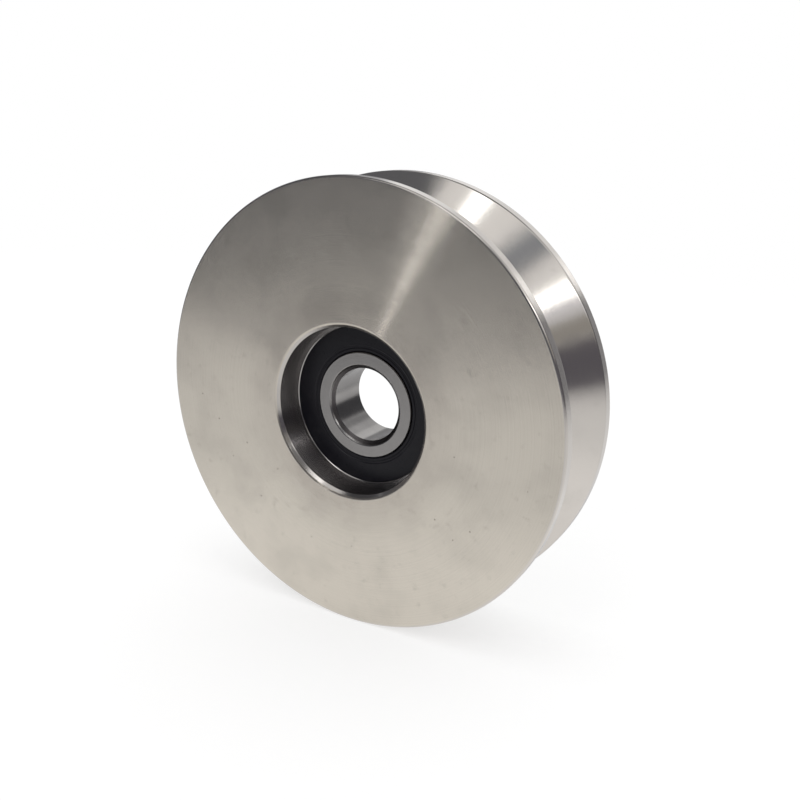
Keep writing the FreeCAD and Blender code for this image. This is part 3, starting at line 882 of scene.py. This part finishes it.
for name, corners, node in (
    ("rear_seal_moulded", seal_corners, "rear_seal"),
    ("front_seal_moulded", mirrored(seal_corners), "front_seal"),
):
    seal = turned(name, section(corners), [rubber])
    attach(seal, "wheel")
    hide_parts(node)

# %% [markdown]
# Pieces that keep their own mesh
#
# The spring ring, the two cage halves, the rivets and the balls already have their true shape in the
# frame, with smooth normals. They only change their finish, by a new material in the first slot.

# %% Dress the frame's own pieces
cage_pieces = ("cage_front", "cage_rear", "cage_rivets")
balls = sorted(name for name in frame["nodes"] if name.startswith("ball_"))
dressed = [("retaining_ring", spring_steel, "spring_steel")]
dressed += [(name, strip_steel, "cage_steel") for name in cage_pieces]
dressed += [(name, ball_steel, "ball_steel") for name in balls]
for name, finish, slot in dressed:
    node = frame["nodes"][name]
    node.data.materials.clear()
    node.data.materials.append(finish)
print("dressed:", ", ".join(name for name, _, _ in dressed))

# %% [markdown]
# The studio
#
# Metal has hardly a colour of its own: it looks like what stands round it. So the studio is built as
# carefully as the wheel, from a floor, a dome of paper and a few lamps. Places in it could be given as
# coordinates, but what counts for a mirror is the direction. So they are given from the wheel, as an
# azimuth, 0 in front of it and growing to the right, and an elevation.

# %% Name directions round the wheel


def direction(azimuth, elevation):
    """The unit vector (sin a cos e, -cos a cos e, sin e) for angles in degrees, arrays or single numbers."""
    a, e = np.radians(azimuth), np.radians(elevation)
    return np.stack([np.sin(a) * np.cos(e), -np.cos(a) * np.cos(e), np.sin(e) + 0 * a], axis=-1)


def stage_sheet(name, grid):
    """A mesh of quads over a grid of points, rows by columns by three, that belongs to the studio."""
    rows, columns, _ = grid.shape
    row, column = np.meshgrid(np.arange(rows - 1), np.arange(columns - 1), indexing="ij")
    corner = row * columns + column
    quads = np.stack([corner, corner + 1, corner + columns + 1, corner + columns], axis=-1)
    mesh = bpy.data.meshes.new(name)
    mesh.from_pydata(grid.reshape(-1, 3), [], quads.reshape(-1, 4))
    item = bpy.data.objects.new(name, mesh)
    bpy.context.scene.collection.objects.link(item)
    return item


# %% [markdown]
# The floor
#
# A pale floor lies under the wheel and fades out after an arm's length, as a lit table does in a dim
# room, which paints that pool of light into what the metal mirrors. It is white to the camera and to
# the metal, by a little light of its own that only camera, mirrored and refracted rays see. It lights
# nothing, and the wheel's own shadow stays on it. Towards its edge it turns clear, and it is half clear
# right behind the wheel, where only the metal sees it: a painted shadow of the wheel, which shows the
# dome's grey.

# %% Lay the floor
FLOOR_HALF, FLOOR_POINTS = 1.2, 9
FLOOR_GREY = (0.5, 0.5, 0.5, 1)
FLOOR_GLOW = 0.57
# A painted pool of light: to the metal the floor grows clear with distance and shows the dome's grey, a
# little from a few centimetres out and fully towards its edge, and sooner front and back than to the sides.
POOL_NARROWING = (0.6, 1.0, 0.0)
NEAR_FADE, FAR_FADE = (0.045, 0.120), (0.10, 0.72)
NEAR_SHARE = 0.26
# A painted shadow of the wheel: behind it, rising over the first depth range and falling off to the side
# over the second, the floor is half clear, so the metal mirrors the dome's grey there.
PAINTED_SHADOW_DEPTHS, PAINTED_SHADOW_SIDES, PAINTED_SHADOW_SHARE = (-0.010, 0.020), (0.040, 0.075), 0.5
SEEN_RAYS = ("Is Camera Ray", "Is Glossy Ray", "Is Transmission Ray")


def seen_directly(tree):
    """1 for the rays that show the background, 0 for those that only carry light."""
    first, second, third = (tree.node("ShaderNodeLightPath", output=name) for name in SEEN_RAYS)
    return first.maths("MAXIMUM", second).maths("MAXIMUM", third)


def floor_finish():
    """White paint with a glow, mixed with clear by the distance from the wheel, a painted pool of light, and
    behind it, a painted shadow.
    """
    tree = new_finish("pale_floor")
    place = place_on(tree)
    pool = tree.node("ShaderNodeVectorMath", {"operation": "MULTIPLY"}, {0: place, 1: POOL_NARROWING})
    away = tree.node("ShaderNodeVectorMath", {"operation": "LENGTH"}, {0: pool}, "Value")
    paint = tree.node("ShaderNodeBsdfDiffuse", inputs={"Color": FLOOR_GREY})
    glow = tree.node("ShaderNodeEmission", inputs={"Strength": seen_directly(tree) * FLOOR_GLOW})
    lit = tree.node("ShaderNodeAddShader", inputs={0: paint, 1: glow})
    clear = tree.node("ShaderNodeBsdfTransparent")
    # The painted pool of light: the floor turns clear by the distance from the wheel.
    near, far = soft_step(away, *NEAR_FADE), soft_step(away, *FAR_FADE)
    # The painted shadow behind the wheel, where the floor turns half clear.
    across = tree.node("ShaderNodeSeparateXYZ", inputs={"Vector": place}, output="X")
    deep = tree.node("ShaderNodeSeparateXYZ", inputs={"Vector": place}, output="Y")
    beside = soft_step(across.maths("ABSOLUTE"), *PAINTED_SHADOW_SIDES)
    painted_shadow = soft_step(deep, *PAINTED_SHADOW_DEPTHS) * (1 - beside)
    shown = (1 - near * NEAR_SHARE) * (1 - far) * (1 - painted_shadow * PAINTED_SHADOW_SHARE)
    return tree.show(tree.node("ShaderNodeMixShader", inputs={0: shown, 1: clear, 2: lit}))


reach = np.linspace(-FLOOR_HALF, FLOOR_HALF, FLOOR_POINTS)
across, deep = np.meshgrid(reach, reach)
floor = stage_sheet("floor", np.stack([across, deep, 0 * across + cad_low.z], axis=-1))
floor.data.materials.append(floor_finish())
print("floor at", round(cad_low.z / MM, 2), "mm")

# %% [markdown]
# The paper dome
#
# Polished metal needs dark and light things to mirror, so a photographer hangs paper round the table.
# Here it is one far dome, white, with patches of grey where a wall or a dark corner of the room would
# show. Separate cards would do too, but their hard edges show in the groove. The patches are painted
# one over the other with soft edges, as a colour at each point. Each has a name, its azimuths and
# elevations, the width of its soft edge in degrees, and its colour. Only mirrored rays see the dome:
# the camera looks past it, and it neither lights the floor nor casts a shadow.

# %% Paint the paper dome
DOME_DISTANCE = 5.0
DOME_FOOT, DOME_TOP = -60.0, 89.0
PATCHES = [
    ("right_wall", (35, 122), (-4, 16), 4, (0.132, 0.126, 0.146)),
    ("right_wall_foot", (35, 122), (-60, -4), 3, (0.340, 0.340, 0.350)),
    ("right_wall_top", (35, 122), (16, 25), 5, (0.350, 0.335, 0.310)),
    ("right_haze", (35, 122), (25, 31), 4, (0.780, 0.790, 0.840)),
    ("front_wall", (-75, 35), (-60, 26), 3, (0.120, 0.124, 0.142)),
    ("left_wall", (-142, -75), (-60, 26), 3, (0.125, 0.127, 0.138)),
    ("rear_right_wall", (122, 157), (-60, 26), 3, (0.100, 0.100, 0.108)),
    ("rear_wall", (152, 218), (-60, 12), 4, (0.350, 0.350, 0.365)),
    ("rear_right_top", (135, 168), (26, 46), 3, (0.420, 0.420, 0.430)),
    ("rear_top", (168, 190), (27, 46), 4, (0.750, 0.750, 0.760)),
    ("rear_ceiling", (120, 240), (48, 89), 6, (0.120, 0.120, 0.126)),
    ("front_top", (-45, 51), (26, 49), 3, (0.280, 0.278, 0.285)),
    ("left_top", (-142, -45), (26, 74), 5, (0.150, 0.155, 0.170)),
    ("left_front_top", (-80, -45), (28, 54), 5, (0.085, 0.085, 0.092)),
    ("rear_left_top", (209, 224), (6, 48), 3, (0.400, 0.400, 0.410)),
    ("right_bar", (35, 75), (49, 60), 5, (0.300, 0.320, 0.355)),
]


def soft_between(angle, low, high, soft):
    """1 between two angles and 0 outside, all round the circle, with smooth edges this many degrees wide."""
    middle = (low + high) / 2
    away = np.abs((angle - middle + 180) % 360 - 180)
    step = np.clip(((high - low) / 2 - away) / soft + 0.5, 0, 1)
    return step * step * (3 - 2 * step)


azimuth, elevation = np.meshgrid(np.arange(-180.0, 181.0), np.arange(DOME_FOOT, DOME_TOP + 1))
tone = np.ones((*azimuth.shape, 4))
for _, azimuths, elevations, soft, colour in PATCHES:
    share = soft_between(azimuth, *azimuths, soft) * soft_between(elevation, *elevations, soft)
    tone[..., :3] += share[..., None] * (np.array(colour) - tone[..., :3])

dome = stage_sheet("paper_dome", DOME_DISTANCE * direction(azimuth, elevation))
dome.data.attributes.new("tone", "FLOAT_COLOR", "POINT").data.foreach_set("color", tone.ravel())
paper = new_finish("painted_paper")
painted = paper.node("ShaderNodeAttribute", {"attribute_name": "tone"}, output="Color")
dome.data.materials.append(paper.show(paper.node("ShaderNodeEmission", inputs={"Color": painted})))
dome.visible_camera = False
dome.visible_diffuse = False
dome.visible_shadow = False
print("patches:", ", ".join(name for name, *_ in PATCHES))

# %% [markdown]
# Lamps
#
# Six soft boxes: one high above, a strip on the right for the white band in the groove, one between the
# two, a narrow one ahead that draws the ray on the turned face, a wider one over it that opens the ray
# into a fan near the rim, and one behind. Each has a name, its direction, its width and height in
# degrees, and its brightness, which is what a mirror would show. Its power follows as 4 * area *
# brightness. The narrow one also leans.

# %% Hang the lamps
LAMP_DISTANCE = 4.0
LAMPS = [
    ("high_box", (10, 75), (8, 7), 3.0),
    ("right_strip", (67.5, 34.5), (34, 5), 2.4),
    ("middle_box", (12, 56), (20, 9), 1.3),
    ("front_strip", (-22, 6), (1.9, 8), 4.0, 26),
    ("fan_box", (-19, 15.5), (8, 4.5), 1.6),
    ("rear_box", (165, 17), (9, 9), 0.5),
]


def lamp(name, towards, spread, brightness, lean=0):
    """A soft box that faces the wheel, turned by `lean` degrees about its own axis. Returns its power."""
    width, height = (2 * LAMP_DISTANCE * math.tan(math.radians(angle) / 2) for angle in spread)
    light = bpy.data.lights.new(name, "AREA")
    light.shape = "RECTANGLE"
    light.size, light.size_y = width, height
    light.energy = 4 * width * height * brightness
    item = bpy.data.objects.new(name, light)
    item.location = LAMP_DISTANCE * direction(*towards)
    item.rotation_mode = "QUATERNION"
    leaning = Quaternion((0, 0, 1), -math.radians(lean))
    item.rotation_quaternion = item.location.to_track_quat("Z", "Y") @ leaning
    item.visible_camera = False
    bpy.context.scene.collection.objects.link(item)
    return light.energy


for row in LAMPS:
    print(row[0], round(lamp(*row), 2), "W")

# %% [markdown]
# The world
#
# The background is white where it is looked at, directly or in a mirror, and gives an even light at a
# plain level everywhere else. The colours are shown as they are written, so the view is set to
# Standard.

# %% Set the world
EVEN_LIGHT = 0.9
WHITE = (1, 1, 1, 1)

world = bpy.data.worlds.new("studio_white")
bpy.context.scene.world = world
sky = Tree(world, "ShaderNodeOutputWorld")
strength = EVEN_LIGHT + seen_directly(sky) * (1 - EVEN_LIGHT)
sky.show(sky.node("ShaderNodeBackground", inputs={"Color": WHITE, "Strength": strength}))
bpy.context.scene.view_settings.view_transform = "Standard"

# %% [markdown]
# The camera
#
# The camera stands to the right of the wheel's front and a little above it, close enough for the far
# side to look smaller. Its place and its lens come from fitting the photographed circles, which all lie
# about one axle.

# %% Place the camera
VIEW_AZIMUTH, VIEW_ELEVATION = 30.994, 16.806
CAMERA_PLACE = (0.12728, -0.20026, 0.07140)
LENS_MM = 40.953
NEAREST_SEEN = 0.01

camera_data = bpy.data.cameras.new("camera")
camera_data.lens = LENS_MM
camera_data.clip_start = NEAREST_SEEN
camera = bpy.data.objects.new("camera", camera_data)
camera.location = CAMERA_PLACE
camera.rotation_mode = "QUATERNION"
camera.rotation_quaternion = Vector(direction(VIEW_AZIMUTH, VIEW_ELEVATION)).to_track_quat("Z", "Y")
bpy.context.scene.collection.objects.link(camera)
bpy.context.scene.camera = camera
print("camera", round(camera.location.length / MM), "mm from the wheel's centre")
